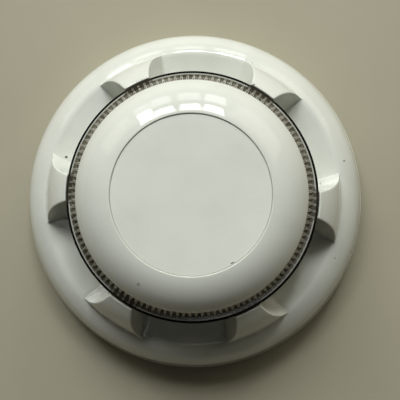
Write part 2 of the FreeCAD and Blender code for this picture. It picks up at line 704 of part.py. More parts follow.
def make_outer_housing():
    body = new_body("outer_housing")
    step_radius = cover_radius() + s.cover_clearance
    crown_radius = step_radius + s.crown_width
    foot_radius = s.ridge_radius + s.face_foot
    root_sink = s.floor_wall / 2
    sketch = new_sketch(body, "XZ_Plane")
    outline(sketch, [
        (s.inlet_inner, floor_level - root_sink),
        (foot_radius, floor_height(foot_radius) - root_sink, s.face_round),
        (crown_radius, s.crown_height),
        (step_radius, s.crown_height),
        (step_radius, cover_level),
        (s.inlet_inner, cover_level),
    ])
    revolve(body, sketch)
    near = inlet_section(body, s.inlet_inner * 0.8)
    far = inlet_section(body, s.ridge_radius * 1.1)
    cut = feature(body, "SubtractiveLoft", near, Sections=[far], Ruled=True)
    far.Visibility = False
    around(body, cut, s.buttress_count)
    seat_outer = s.inlet_inner + s.seat_width
    under = floor_height(seat_outer) - s.housing_wall
    # the inside of the ridge lies one wall further in, on the line to the round's centre
    shrink = inner_round / s.rim_round
    inner_ridge = round_centre + (s.ridge_radius - round_centre) * shrink
    inner_ridge_level = round_height + (ridge_level - round_height) * shrink
    sketch = new_sketch(body, "XZ_Plane")
    outline(sketch, [
        (skirt_radius, skirt_level),
        (turn_radius, s.skirt_height, s.rim_round),
        (s.ridge_radius, ridge_level),
        (s.inlet_inner, floor_level),
        (s.inlet_inner, seat_level),
        (seat_outer, seat_level),
        (seat_outer, under),
        (inner_ridge, inner_ridge_level, -inner_round),
        (round_centre + inner_round * cosine(s.skirt_draft),
         round_height + inner_round * sine(s.skirt_draft)),
        (skirt_radius - s.housing_wall, skirt_level),
    ])
    revolve(body, sketch)
    near = hollow_section(body, s.hollow_inner, s.hollow_top, s.hollow_narrow)
    far = hollow_section(body, s.hollow_outer, s.hollow_low, s.hollow_wide)
    cut = feature(body, "SubtractiveLoft", near, Sections=[far], Ruled=True)
    far.Visibility = False
    around(body, cut, s.buttress_count)
    rear_top = rear_level + s.rear_thickness
    boss_top = floor_height(s.boss_position - s.boss_radius) - s.floor_wall / 4
    sketch = new_sketch(body, "XY_Plane", rear_top, s.boss_angle)
    circle(sketch, s.boss_position, 0, s.boss_radius)
    around(body, extrude(body, "Pad", sketch, boss_top - rear_top), 3)
    sketch = new_sketch(body, "XY_Plane", rear_top, s.boss_angle)
    circle(sketch, s.boss_position, 0, s.rear_screw_shank + s.hole_clearance)
    depth = s.rear_screw_depth + s.hole_clearance * 5
    around(body, extrude(body, "Pocket", sketch, depth, True), 3)
    sketch = new_sketch(body, "XY_Plane", cover_level)
    circle(sketch, s.cover_screw_position, 0, s.cover_screw_shank + s.hole_clearance)
    depth = s.cover_screw_depth + s.hole_clearance * 5
    around(body, extrude(body, "Pocket", sketch, depth), 3)


def cover_radius():
    return s.ring_foot + s.ring_inset * 2


# Circuit board and what stands on it
def make_circuit_board():
    body = new_body("circuit_board")
    sketch = new_sketch(body, "XY_Plane", board_level)
    circle(sketch, 0, 0, skirt_radius - s.board_inset)
    extrude(body, "Pad", sketch, s.board_thickness)
    sketch = new_sketch(body, "XY_Plane", board_top, s.boss_angle)
    circle(sketch, s.boss_position, 0, s.board_notch)
    around(body, extrude(body, "Pocket", sketch, s.board_thickness), 3)


component_radius = (s.hollow_inner + s.hollow_outer) / 2
component_reach = (s.hollow_outer - s.hollow_inner) / 2 - s.component_gap
buttress_pitch = 360 / s.buttress_count


def make_components():
    """Under the board the microcontroller; in the hollow buttresses the tall components."""
    body = new_body("microcontroller")
    half = s.chip_side / 2
    sketch = new_sketch(body, "XY_Plane", board_level)
    rectangle(sketch, -half, -half, half, half)
    extrude(body, "Pad", sketch, s.board_gap - s.chip_gap, True)

    foot = s.can_height / 7
    body = turned("electrolytic_capacitor", [
        (0, 0),
        (component_reach, 0),
        (component_reach, foot),
        (component_reach - s.can_neck, foot + s.can_neck),
        (component_reach, foot + s.can_neck * 2),
        (component_reach, s.can_height),
        (0, s.can_height),
    ])
    turn_body(body, 0, component_radius, board_top)

    body = new_body("reed_switch")
    half = s.tube_length / 2
    lead = s.tube_radius - s.tube_tip
    sketch = new_sketch(body, "XY_Plane")
    outline(sketch, [
        (0, -half),
        (lead, -half),
        (s.tube_radius, s.tube_tip - half),
        (s.tube_radius, half - s.tube_tip),
        (lead, half),
        (0, half),
    ])
    revolve(body, sketch)
    turn_body(body, buttress_pitch, component_radius, board_top + s.tube_radius + s.hole_clearance)

    body = new_body("suppressor_coil")
    half = component_reach * sine(45)
    sketch = new_sketch(body, "XY_Plane")
    rectangle(sketch, -half, -half, half, half)
    extrude(body, "Pad", sketch, s.coil_flange)
    sketch = new_sketch(body, "XY_Plane")
    circle(sketch, 0, 0, half * 0.8)
    extrude(body, "Pad", sketch, s.coil_height - s.coil_flange)
    sketch = new_sketch(body, "XY_Plane", s.coil_height - s.coil_flange)
    rectangle(sketch, -half, -half, half, half)
    extrude(body, "Pad", sketch, s.coil_flange)
    turn_body(body, buttress_pitch * 2, component_radius, board_top)


# Smoke chamber: base with two holders, labyrinth, screen, lid
def holder_outline(sketch):
    half = s.holder_half_width
    rectangle(sketch, s.holder_front, -half, s.holder_front + s.holder_length, half)


def make_chamber_base():
    plug = s.inlet_inner - s.chamber_clearance
    body = turned("chamber_base", [
        (0, board_top),
        (s.flange_radius, board_top),
        (s.flange_radius, seat_level),
        (plug, seat_level),
        (plug, floor_level),
        (0, floor_level),
    ])
    bore = s.lamp_radius + s.hole_clearance
    for angle in (s.emitter_angle, s.receiver_angle):
        sketch = new_sketch(body, "XY_Plane", floor_level, angle)
        holder_outline(sketch)
        extrude(body, "Pad", sketch, s.optic_height * 2 - s.maze_floor)
        sketch = new_sketch(body, "YZ_Plane", s.holder_front + s.holder_length, angle)
        circle(sketch, 0, optic_level, bore)
        extrude(body, "Pocket", sketch, s.holder_length)
        sketch = new_sketch(body, "XY_Plane", floor_level, angle)
        lead_slot(sketch)
        extrude(body, "Pocket", sketch, floor_level - board_top)
    sketch = new_sketch(body, "XY_Plane", floor_level)
    ribbon_slot(sketch)
    extrude(body, "Pocket", sketch, floor_level - board_top)


def lead_slot(sketch):
    """Opening behind a holder, for the two leads that go down to the board."""
    near = s.holder_front + s.holder_length + s.hole_clearance * 2
    half = s.lead_pitch / 2 + s.lead_width
    rectangle(sketch, near, -half, near + s.lead_width * 2, half)


def ribbon_slot(sketch):
    near = s.lamp_board_radius
    far = near + s.ribbon_clearance * 2 + s.ribbon_thickness
    half = s.ribbon_width / 2 + s.ribbon_clearance
    rectangle(sketch, near, -half, far, half)


def make_optics():
    """Emitter with a domed front, photodiode behind its lens, each with two leads."""
    mouth = s.holder_front
    back = s.holder_front + s.holder_length
    bore = s.lamp_radius
    lead_level = optic_level - board_top

    body = new_body("infrared_emitter")
    sketch = new_sketch(body, "XY_Plane")
    # the outline lies along X, and is turned about that axis
    outline(sketch, [
        (back, 0),
        (back, bore),
        (mouth + bore, bore, bore),
        (mouth, 0),
    ])
    feature(body, "Revolution", sketch, ReferenceAxis=(sketch, ["H_Axis"]), Angle=360)
    make_leads(body, back, lead_level)
    turn_body(body, s.emitter_angle, 0, optic_level)

    cap = s.lens_cap
    body = new_body("receiver_lens")
    sketch = new_sketch(body, "XY_Plane")
    outline(sketch, [
        (mouth + cap * 2, 0),
        (mouth + cap * 2, bore),
        (mouth + cap, bore, (bore * bore + cap * cap) / (cap * 2)),
        (mouth, 0),
    ])
    feature(body, "Revolution", sketch, ReferenceAxis=(sketch, ["H_Axis"]), Angle=360)
    turn_body(body, s.receiver_angle, 0, optic_level)

    body = new_body("photodiode")
    sketch = new_sketch(body, "YZ_Plane", back - s.diode_length)
    circle(sketch, 0, 0, bore)
    extrude(body, "Pad", sketch, s.diode_length)
    make_leads(body, back, lead_level)
    turn_body(body, s.receiver_angle, 0, optic_level)


def make_leads(body, back, drop):
    """Two square leads: out of the back, then down to the board."""
    reach = s.hole_clearance * 2 + s.lead_width / 2
    for side in (-1, 1):
        low = s.lead_pitch / 2 * side - s.lead_width / 2
        sketch = new_sketch(body, "XZ_Plane", -low)
        half = s.lead_width / 2
        outline(sketch, [
            (back, -half),
            (back + reach, -half),
            (back + reach, -drop),
            (back + reach + s.lead_width, -drop),
            (back + reach + s.lead_width, half),
            (back, half),
        ])
        extrude(body, "Pad", sketch, s.lead_width, True)


def make_labyrinth():
    """A floor ring with bent vanes that keep light out and let smoke in."""
    outer = s.screen_radius - s.screen_wall - s.screen_gap
    body = new_body("labyrinth")
    sketch = new_sketch(body, "XY_Plane", floor_level)
    circle(sketch, 0, 0, outer)
    circle(sketch, 0, 0, s.maze_inner)
    extrude(body, "Pad", sketch, s.maze_floor)
    middle = (outer + s.maze_inner) / 2
    near = s.maze_inner + s.vane_thickness / 2
    far = outer - s.vane_thickness / 2
    wide = s.vane_thickness
    sketch = new_sketch(body, "XY_Plane", floor_level + s.maze_floor)
    outline(sketch, [
        (near, 0),
        (middle, s.vane_step),
        (far, 0),
        (far, wide * 1.4),
        (middle, s.vane_step + wide * 1.4),
        (near, wide * 1.4),
    ])
    vane = extrude(body, "Pad", sketch, lid_level - floor_level - s.maze_floor)
    around(body, vane, s.vane_count)


def make_chamber_lid():
    outer = s.screen_radius - s.screen_wall - s.screen_gap
    lip = s.vane_thickness
    turned("chamber_lid", [
        (0, lid_level),
        (outer, lid_level),
        (outer, cover_level - lip / 2),
        (outer - lip / 2, cover_level),
        (0, cover_level),
    ])


def make_insect_screen():
    """A thin cylinder with narrow upright windows, which hold the mesh."""
    top = cover_level - s.screen_gap
    body = turned("insect_screen", [
        (s.screen_radius - s.screen_wall, floor_level),
        (s.screen_radius, floor_level),
        (s.screen_radius, top),
        (s.screen_radius - s.screen_wall, top),
    ])
    half = s.window_width / 2
    low = floor_level + s.window_frame
    sketch = new_sketch(body, "YZ_Plane", s.screen_radius + s.screen_wall)
    rectangle(sketch, -half, low, half, top - s.window_frame)
    window = extrude(body, "Pocket", sketch, s.screen_wall * 3)
    around(body, window, s.screen_windows)


# Chamber cover: black plate in the buttresses' step
def make_chamber_cover():
    radius = cover_radius()
    body = turned("chamber_cover", [
        (0, cover_level),
        (radius, cover_level),
        (radius, cover_top),
        (0, cover_top),
    ])
    for angle, position, head_up in (
        (0, s.cover_screw_position, True),
        (s.dome_boss_angle, s.dome_boss_position, False),
    ):
        level = cover_top if head_up else cover_level
        sketch = new_sketch(body, "XY_Plane", level, angle)
        circle(sketch, position, 0, s.cover_screw_shank + s.hole_clearance)
        around(body, extrude(body, "Pocket", sketch, s.cover_thickness, not head_up), 3)
        sketch = new_sketch(body, "XY_Plane", level, angle)
        circle(sketch, position, 0, s.cover_screw_head + s.hole_clearance)
        around(body, extrude(body, "Pocket", sketch, s.cover_thickness / 2, not head_up), 3)
    sketch = new_sketch(body, "XY_Plane", cover_top)
    ribbon_slot(sketch)
    extrude(body, "Pocket", sketch, s.cover_thickness)
    sketch = new_sketch(body, "XY_Plane", cover_top)
    circle(sketch, s.dome_boss_position + s.post_radius * 3, 0, s.post_radius)
    around(body, extrude(body, "Pad", sketch, s.lamp_board_gap), 3)


def flat_screws(label, angle, position, level, depth, head_up):
    """Three equal screws with flush heads."""
    body = new_body(label)
    head = s.cover_thickness / 2
    sketch = new_sketch(body, "XY_Plane", level, angle)
    circle(sketch, position, 0, s.cover_screw_head)
    around(body, extrude(body, "Pad", sketch, head, head_up), 3)
    sketch = new_sketch(body, "XY_Plane", level, angle)
    circle(sketch, position, 0, s.cover_screw_shank)
    around(body, extrude(body, "Pad", sketch, s.cover_thickness + depth, head_up), 3)


# Light ring: clear flange and a cone of upright V ribs
def rib_corners(radius, height, crest):
    """Corners of the ribbed outline: a crest and a groove for each rib."""
    count = int(s.rib_count.number)
    pitch = 2 * math.pi / count
    corners = []
    for number in range(count):
        for share, depth in ((-crest, 0), (crest, 0), (0.5 - crest / 4, 1), (0.5 + crest / 4, 1)):
            angle = (number + share) * pitch
            reach = radius - depth * s.rib_depth.number
            corners.append(Vector(reach * math.cos(angle), reach * math.sin(angle), height))
    return corners


def make_light_ring():
    """The crests widen towards the dome, so that each rib is a narrow V."""
    cone = s.dome_radius.number
    wires = []
    for radius, level, crest in (
        (s.ring_foot.number, ring_level.number, s.crest_foot.number),
        (cone, dome_level.number, s.crest_head.number),
    ):
        corners = rib_corners(radius, level, crest)
        wires.append(Part.makePolygon(corners + corners[:1]))
    ribs = Part.makeLoft(wires, True, True)
    flange_radius = cover_radius().number - s.ring_inset.number
    flange = Part.makeCylinder(flange_radius, s.ring_flange.number, Vector(0, 0, cover_top.number))
    bore = Part.makeCylinder(
        cone - s.ring_wall.number,
        dome_level.number - cover_top.number,
        Vector(0, 0, cover_top.number),
    )
    ring = doc.addObject("Part::Feature", "light_ring")
    ring.Label = "light_ring"
    ring.Shape = flange.fuse(ribs).cut(bore)
    parts.append(ring)


# Lamp board, lamps and ribbon
def make_lamps():
    body = new_body("lamp_board")
    sketch = new_sketch(body, "XY_Plane", lamp_board_level)
    circle(sketch, 0, 0, s.lamp_board_radius)
    extrude(body, "Pad", sketch, s.board_thickness)
    sketch = new_sketch(body, "XY_Plane", lamp_board_top, s.dome_boss_angle)
    circle(sketch, s.dome_boss_position, 0, s.dome_boss_radius + s.ring_inset / 2)
    around(body, extrude(body, "Pocket", sketch, s.board_thickness), 3)
    half = s.lamp_side / 2
    for number in range(3):
        body = new_body(f"indicator_lamp_{number + 1}")
        sketch = new_sketch(body, "XY_Plane")
        rectangle(sketch, -half, -half, half, half)
        extrude(body, "Pad", sketch, s.lamp_height)
        sketch = new_sketch(body, "XZ_Plane")
        outline(sketch, [
            (0, s.lamp_height / 2),
            (s.lamp_lens, s.lamp_height / 2),
            (s.lamp_lens, s.lamp_height, s.lamp_lens),
            (0, s.lamp_height + s.lamp_lens),
        ])
        revolve(body, sketch)
        turn_body(body, number * 120, s.lamp_position, lamp_board_top)
    body = new_body("lamp_ribbon")
    near = s.lamp_board_radius + s.ribbon_clearance / 2
    sketch = new_sketch(body, "XY_Plane", board_top)
    half = s.ribbon_width / 2
    rectangle(sketch, near, -half, near + s.ribbon_thickness, half)
    extrude(body, "Pad", sketch, lamp_board_top - board_top)


# Dome cap with its recess and bosses, and the disc in the recess
def make_dome():
    recess = s.disc_radius + s.disc_clearance
    lip = recess + s.crown_width
    shoulder = dome_level + s.dome_edge
    recess_level = dome_top - s.disc_sink - s.disc_thickness
    spigot = s.dome_radius - s.ring_wall - s.disc_clearance
    inner = s.dome_round - s.dome_wall
    inside = spigot - s.dome_wall / 2
    body = turned("dome_cap", [
        (s.dome_radius, dome_level),
        (s.dome_radius, shoulder, s.dome_round),
        (lip, dome_top),
        (recess, dome_top),
        (recess, recess_level),
        (0, recess_level),
        (0, recess_level - s.dome_wall),
        (lip, recess_level - s.dome_wall, -inner),
        (inside, dome_level + s.dome_edge),
        (inside, dome_level - s.dome_spigot),
        (spigot, dome_level - s.dome_spigot),
        (spigot, dome_level),
    ])
    boss_height = recess_level - s.dome_wall / 2 - cover_top
    sketch = new_sketch(body, "XY_Plane", cover_top, s.dome_boss_angle)
    circle(sketch, s.dome_boss_position, 0, s.dome_boss_radius)
    around(body, extrude(body, "Pad", sketch, boss_height), 3)
    sketch = new_sketch(body, "XY_Plane", cover_top, s.dome_boss_angle)
    circle(sketch, s.dome_boss_position, 0, s.cover_screw_shank + s.hole_clearance)
    depth = s.dome_screw_depth + s.hole_clearance * 5
    around(body, extrude(body, "Pocket", sketch, depth, True), 3)

    edge = s.disc_thickness / 4
    turned("centre_disc", [
        (0, recess_level),
        (s.disc_radius, recess_level),
        (s.disc_radius, recess_level + s.disc_thickness - edge, edge),
        (s.disc_radius - edge, recess_level + s.disc_thickness),
        (0, recess_level + s.disc_thickness),
    ])


make_mounting_base()
make_contact_springs()
make_clamp_plates()
make_terminal_screws()
make_contact_blades()
make_rear_plate()
make_rear_screws()
make_outer_housing()
make_circuit_board()
make_components()
make_chamber_base()
make_optics()
make_labyrinth()
make_chamber_lid()
make_insect_screen()
make_chamber_cover()
flat_screws("cover_screws", 0, s.cover_screw_position, cover_top, s.cover_screw_depth, True)
flat_screws(
    "dome_screws", s.dome_boss_angle, s.dome_boss_position, cover_level, s.dome_screw_depth, False,
)
make_light_ring()
make_lamps()
make_dome()

doc.recompute()

for item in doc.Objects:
    if "Invalid" in item.State or "Error" in item.State:
        raise RuntimeError(f"{item.Label} failed: {item.State}")

os.makedirs("parts", exist_ok=True)
for part in parts:
    shape = part.Shape
    if shape.isNull() or not shape.isValid():
        raise RuntimeError(f"{part.Label} has no valid shape")
    shape.exportStep(f"parts/{part.Label}.step")
    print(f"{part.Label}: {len(shape.Solids)} solid, {shape.Volume:.1f} mm3")
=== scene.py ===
# %% [markdown]
# # A photoelectric smoke detector, from its frame to its looks
# The CAD frame already has every piece in place: a base for the ceiling, a head that twists onto it
# with a smoke chamber inside, a ring of clear ribs that lights up, and a dome with a flat disc. All of
# it could be modelled again here, but then looks and construction would drift apart. So this lesson
# only puts on the frame what a camera sees: mouldings with rounded edges, slightly wavy white plastic,
# smoky clear ribs with painted highlights, painted shade and dust in the creases, and the light of a
# window.

# %% The frame
import math

import bpy
import numpy as np
from mathutils import Matrix, Vector


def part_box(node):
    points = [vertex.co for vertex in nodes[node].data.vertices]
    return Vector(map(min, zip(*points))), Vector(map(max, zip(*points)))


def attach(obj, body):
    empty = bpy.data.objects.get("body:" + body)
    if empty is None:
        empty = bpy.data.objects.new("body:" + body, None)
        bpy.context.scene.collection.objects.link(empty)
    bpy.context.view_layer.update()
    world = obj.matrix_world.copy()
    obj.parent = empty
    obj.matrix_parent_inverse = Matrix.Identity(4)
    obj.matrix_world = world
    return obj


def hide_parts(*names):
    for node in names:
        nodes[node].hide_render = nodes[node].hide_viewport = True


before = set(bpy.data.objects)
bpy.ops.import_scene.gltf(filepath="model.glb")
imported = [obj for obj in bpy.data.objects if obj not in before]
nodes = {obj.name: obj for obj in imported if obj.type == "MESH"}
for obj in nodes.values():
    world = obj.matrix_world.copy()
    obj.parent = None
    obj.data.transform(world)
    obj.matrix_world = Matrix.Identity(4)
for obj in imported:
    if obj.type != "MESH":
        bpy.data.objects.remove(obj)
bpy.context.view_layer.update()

# %% [markdown]
# ## Sizes
# The real detector is about 110 mm across, a common size on a ceiling. Its sizes could be typed in
# again, but a change in the frame would then leave the looks behind. So the edges of the pieces are
# read from the frame, and only the curves between them are given as numbers.

# %% Sizes from the frame, in millimetres
MM = 0.001


def span(node):
    """Lowest and highest corner of a node, in millimetres."""
    low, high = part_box(node)
    return low / MM, high / MM


shell_low, shell_high = span("outer_housing")
cover_low, cover_high = span("chamber_cover")
ring_low, ring_high = span("light_ring")
dome_high = span("dome_cap")[1]
disc_low, disc_high = span("centre_disc")
board_high = span("chamber_base")[1]
screen_low, screen_high = span("insect_screen")

skirt_radius = shell_high.x
skirt_low = shell_low.z
crown_height = shell_high.z
cover_radius = cover_high.x
cover_seat = cover_low.z
dome_radius = dome_high.x
disc_radius = disc_high.x
print("skirt", round(skirt_radius, 2), "crown", round(crown_height, 2), "dome", round(dome_high.z, 2))

# %% [markdown]
# ## Outlines
# Every edge of a moulding is a little round, because a mould can't be perfectly sharp, and the thin
# light that such an edge catches is what makes it look real. A bevel modifier could round them. Here
# the outlines are rounded before they are turned, so that each edge gets its own radius.

# %% Rounded corners and arcs
def bend(start, corner, end, t):
    """A place on the curve from start to end that a corner pulls outward, for t from 0 to 1."""
    return start * (1 - t) ** 2 + corner * 2 * t * (1 - t) + end * t * t


def softened(corners, steps=5):
    """An outline whose corners (radius, height, round) are rounded by short curves."""
    most_of_edge = 0.49
    line = []
    for place, (across, up, size) in enumerate(corners):
        here = np.array([across, up])
        if size == 0 or place in (0, len(corners) - 1):
            line.append(here)
            continue
        before = np.array(corners[place - 1][:2]) - here
        after = np.array(corners[place + 1][:2]) - here
        start = here + before * min(size / np.linalg.norm(before), most_of_edge)
        end = here + after * min(size / np.linalg.norm(after), most_of_edge)
        line += [bend(start, here, end, step / steps) for step in range(steps + 1)]
    return np.array(line)


def arc(start, end, radius, count):
    """Points between two points of an outline, on an arc that bulges outward."""
    start, end = np.array(start), np.array(end)
    half = (end - start) / 2
    length = np.linalg.norm(half)
    side = np.array([half[1], -half[0]]) / length
    centre = start + half - side * math.sqrt(radius ** 2 - length ** 2)
    first = math.atan2(*(start - centre)[::-1])
    last = math.atan2(*(end - centre)[::-1])
    turns = np.linspace(first, last, count)
    return [tuple(centre + radius * np.array([math.cos(a), math.sin(a)])) for a in turns]


print("a rounded corner has", len(softened([(0, 0, 0), (1, 0, 0.2), (1, 1, 0)])) - 2, "points")

# %% [markdown]
# ## Grids and turned pieces
# Cover, dome and disc are turned shapes, as the cavities of their moulds are. A screw modifier could
# turn an outline. A grid of points does the same with one helper, and the housing, which isn't a
# plain turned shape, can use it too.

# %% Meshes from rows of points
def grid_piece(name, body, points, replaced=()):
    """A smooth closed-round mesh from rows of points, in millimetres."""
    rows, columns = points.shape[:2]
    corners = [tuple(point * MM) for point in points.reshape(-1, 3)]
    faces = []
    for row in range(rows - 1):
        for column in range(columns):
            beside = (column + 1) % columns
            faces.append((
                row * columns + column,
                row * columns + beside,
                (row + 1) * columns + beside,
                (row + 1) * columns + column,
            ))
    mesh = bpy.data.meshes.new(name)
    mesh.from_pydata(corners, [], faces)
    mesh.shade_smooth()
    piece = bpy.data.objects.new(name, mesh)
    bpy.context.scene.collection.objects.link(piece)
    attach(piece, body)
    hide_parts(*replaced)
    print(name, len(corners), "points,", 2 * len(faces), "triangles")
    return piece


def lathe(name, body, line, replaced=(), count=256):
    """A turned piece from its outline, listed from the foot outside to the top."""
    turns = np.linspace(0, 2 * math.pi, count, endpoint=False)
    points = np.zeros((len(line), count, 3))
    for row, (across, up) in enumerate(line):
        points[row, :, 0] = across * np.cos(turns)
        points[row, :, 1] = across * np.sin(turns)
        points[row, :, 2] = up
    return grid_piece(name, body, points, replaced)


# %% [markdown]
# ## Dome and centre disc
# The dome is one thick-walled moulding. Its round side ends in a narrow lip, and a separate plastic
# disc lies just under that lip. The circle round the disc could be painted on, but a real gap gives
# it the right shadow from every side.

# %% Dome and disc
lip_radius = disc_radius + 0.4
lip_wall = 2.0
dome_edge = ring_high.z + 0.7
dome_round = 15.0
under_disc = disc_low.z + 0.01
pinhole = 0.02
disc_flat = disc_radius - 3
# Each pair is how far in from the dome's side or lip, and how far below its edge or top.
edge_roll = ((1.6, 0.65), (0.25, 0.68), (0.06, 0.6), (0.0, 0.42))
lip_roll = ((0.12, 0.01), (0.24, 0.07), (0.3, 0.2))
dome_line = [(dome_radius - inward, dome_edge - down) for inward, down in edge_roll]
dome_line += arc((dome_radius, dome_edge), (lip_radius, dome_high.z), dome_round, 40)
dome_line += [(lip_radius - inward, dome_high.z - down) for inward, down in lip_roll]
dome_line += [(dome_line[-1][0], under_disc), (lip_radius - lip_wall, under_disc)]
dome = lathe("dome_shell", "head", dome_line, ["dome_cap"], 320)
disc_line = softened([
    (pinhole, under_disc, 0),
    (disc_radius, under_disc, 0),
    (disc_radius, disc_high.z, 0.22),
    (disc_flat, disc_high.z, 0),
    (pinhole, disc_high.z, 0),
])
disc = lathe("disc_face", "head", disc_line, ["centre_disc"], 200)

# %% [markdown]
# ## Outer housing: rim and inlet floors
# Rim, inlet floors and six buttresses are one white moulding. It could be joined from solids, but the
# soft creases between them would be hard to get. Here it is one surface over the ground: the inlet
# floor climbs to a ridge, and the rim falls from it in one large round to a straight skirt.

# %% Rim and inlet floors
opening = 31.2
floor_low = 15.5
ridge = 45.8
ridge_soft = 1.2
ridge_lift = 0.02
rim_round = 11.3
skirt_turn = 9.5
skirt_draft = math.radians(12.4)
skirt_wall = 1.8
turn_radius = skirt_radius - math.tan(skirt_draft) * (skirt_turn - skirt_low)
round_across = turn_radius - rim_round * math.cos(skirt_draft)
round_up = skirt_turn - rim_round * math.sin(skirt_draft)


def rim_height(across):
    return round_up + math.sqrt(rim_round ** 2 - (across - round_across) ** 2)


ridge_height = rim_height(ridge)


def floor_height(across):
    return floor_low + (ridge_height - floor_low) * (across - opening) / (ridge - opening)


def ground(across):
    """Height of inlet floor and rim, with the ridge between them rounded."""
    if across < ridge - ridge_soft:
        return floor_height(across)
    if across > ridge + ridge_soft:
        return rim_height(across)
    start, end = ridge - ridge_soft, ridge + ridge_soft
    t = (across - start) / (end - start)
    return bend(floor_height(start), ridge_height + ridge_lift, rim_height(end), t)


print("the ridge is", round(ground(ridge), 2), "mm high")

# %% [markdown]
# ## Outer housing: buttresses
# A buttress carries the ring: its face falls in an arc from the crown to the ridge, and its side
# walls are hollow curves with a small fillet at the foot. They could be sculpted. A formula for the
# height and one for the side keep all six alike, as a mould does.

# %% Face and side wall of a buttress
step_radius = cover_radius + 0.2
crown_radius = step_radius + 0.45
crown_edge = 0.3
face_foot = ridge - 0.15
face_round = 22.6
face_crease = 0.8
face_end = ridge + 1.3
face_line = np.array(arc((face_foot, floor_height(face_foot)), (crown_radius, crown_height),
                         face_round, 60))[::-1]
foot_slope = (face_line[-1, 1] - face_line[-2, 1]) / (face_line[-1, 0] - face_line[-2, 0])
foot_angle = math.radians(13.7)
foot_wider = math.radians(0.3)
foot_taper = math.radians(0.2)
wall_fillet = 0.7
wall_round = 50
wall_start, wall_end = math.radians(63), math.radians(84)
wall_taper = 0.03


def buttress_rise(across):
    """How far a buttress stands over the ground at a distance from the axis."""
    fade = min(max(face_end - across, 0), 1)
    face = np.interp(across, face_line[:, 0], face_line[:, 1])
    over = face + max(across - face_foot, 0) * foot_slope - ground(across)
    rise = (over + math.sqrt(over * over + face_crease * face_crease * fade)) / 2
    if across < crown_radius:
        rise = crown_height - ground(across)
    if across < step_radius + crown_edge:
        run = min((step_radius + crown_edge - across) / crown_edge, 1)
        rise -= crown_edge * (1 - math.sqrt(1 - run * run))
    return rise * min(fade * 4, 1)


def inward(across):
    return ridge - min(across, ridge)


def foot_turn(across):
    """Half the angle of a buttress at its foot: the inlets run inward with nearly parallel sides."""
    return foot_angle + foot_wider - foot_taper * inward(across)


def side_curve(rise, across):
    """The side wall from its foot up, as (how far in, how far up)."""
    low = np.linspace(0, wall_start, 8)
    high = np.linspace(wall_start, wall_end, 30)[1:]
    foot = np.stack([np.sin(low), 1 - np.cos(low)], 1) * wall_fillet
    wall = np.stack([np.sin(high), -np.cos(high)], 1)
    wall = (wall - (math.sin(wall_start), -math.cos(wall_start))) * wall_round
    curve = np.concatenate([foot, foot[-1] + wall]) * (1 - wall_taper * inward(across), 1)
    last = np.interp(rise, curve[:, 1], curve[:, 0])
    return np.concatenate([curve[curve[:, 1] < rise - 1e-6], [[last, rise]]])


print("a buttress rises", round(buttress_rise(step_radius + crown_edge), 2), "mm at the cover")

# %% [markdown]
# ## Outer housing: one sector
# A grid with even columns would cut across the edges of the buttresses and blur them. So the columns
# follow what the eye follows: inlet floor, side wall, crown edge and face each get their own share of
# points at every radius. Each point also gets a number for how near it lies to a buttress's foot,
# where the finish paints shade and some dust in the crease.

# %% Half a sector of the housing
FLOOR, WALL, CROWN, FACE = 9, 20, 6, 9
edge_round = 0.6
edge_share = 0.35
foot_spread = 0.3
wall_lean = 0.96
wall_crowding = 1.25
# How far the painted shade and dust of a crease reach over the floor and up the wall, and the rise at
# which they are full.
shade_dust_across, shade_dust_up, shade_dust_rise = 0.8, 0.9, 1.5
buttress_count = 6
half_sector = math.pi / buttress_count
level_line = np.array([[0.0, 0.0], [0.02, 0.0]])


def along(line, shares):
    """Points of a line at shares of its length."""
    steps = np.concatenate([[0], np.cumsum(np.linalg.norm(np.diff(line, axis=0), axis=1))])
    places = np.asarray(shares) * steps[-1]
    return np.stack([np.interp(places, steps, line[:, 0]), np.interp(places, steps, line[:, 1])], 1)


def half_section(across, rise):
    """Half a 60 degree sector at one radius, from inlet middle to buttress middle.

    Gives (angle from the buttress, height over the ground, closeness to the foot)."""
    curve = level_line if rise < 1e-3 else side_curve(rise, across)
    corner = curve[-1]
    size = min(edge_round, rise * edge_share)
    spread = foot_spread * (1 - min(rise / 2, 1)) ** 2
    length = np.linalg.norm(np.diff(curve, axis=0), axis=1).sum()
    wall = along(curve, np.linspace(0, max(1 - size / length, 0.3), 60))
    start = wall[-1]
    end = np.array([corner[0] + size + spread, rise])
    if spread > 0:
        wall = np.concatenate([[[-spread, 0.0]], wall])
    points = list(along(wall, np.linspace(0, 1, WALL) ** wall_crowding))
    points += [bend(start, corner, end, step / CROWN) for step in range(1, CROWN + 1)]
    foot = foot_turn(across)
    angles = [foot - math.asin(wall_lean * point[0] / across) for point in points]
    shaded_dusty = min(rise / shade_dust_rise, 1)
    section = []
    for angle in np.linspace(half_sector, angles[0], FLOOR + 1)[:-1]:
        section.append((angle, 0.0, math.exp((foot - angle) * across / shade_dust_across) * shaded_dusty))
    for angle, (_, lift) in zip(angles, points):
        section.append((angle, lift, math.exp(-max(lift, 0) / shade_dust_up) * shaded_dusty))
    for angle in np.linspace(angles[-1], 0, FACE + 1)[1:]:
        section.append((angle, rise, 0.0))
    return section


print("half a sector has", len(half_section(crown_radius, 10)), "points")

# %% [markdown]
# ## Outer housing: all rows
# The rows are circles from the smoke chamber's opening out over the ridge and down the skirt. Even
# rows would need far more triangles for the same edges, so they lie closer where the shape bends: at
# the crown's edge and over the ridge.

# %% The housing's grid
chamber_lap = 3.4
chamber_drop = 1.85
opening_edge = 0.2
opening_round = 0.06
skirt_edge = 0.3
behind_step = (opening + 0.24, 32.5, 34.0, 35.5, step_radius - 0.04)
crown_rows = (0.0, 0.01, 0.05, 0.1, 0.18, 0.3, 0.42, 0.6, 0.9)
face_rows = ((38.4, 44.6, 0.5), (44.6, 45.8, 0.13), (45.8, 46.9, 0.055), (46.95, 48.4, 0.18))
rim_start = 48.5
# A band of painted shade and dust in the crease where a buttress's face meets the ridge.
face_shade_dust = face_foot + 0.35
face_shade_dust_width = 0.5
face_shade_dust_share = 0.8
seam = 1e-4


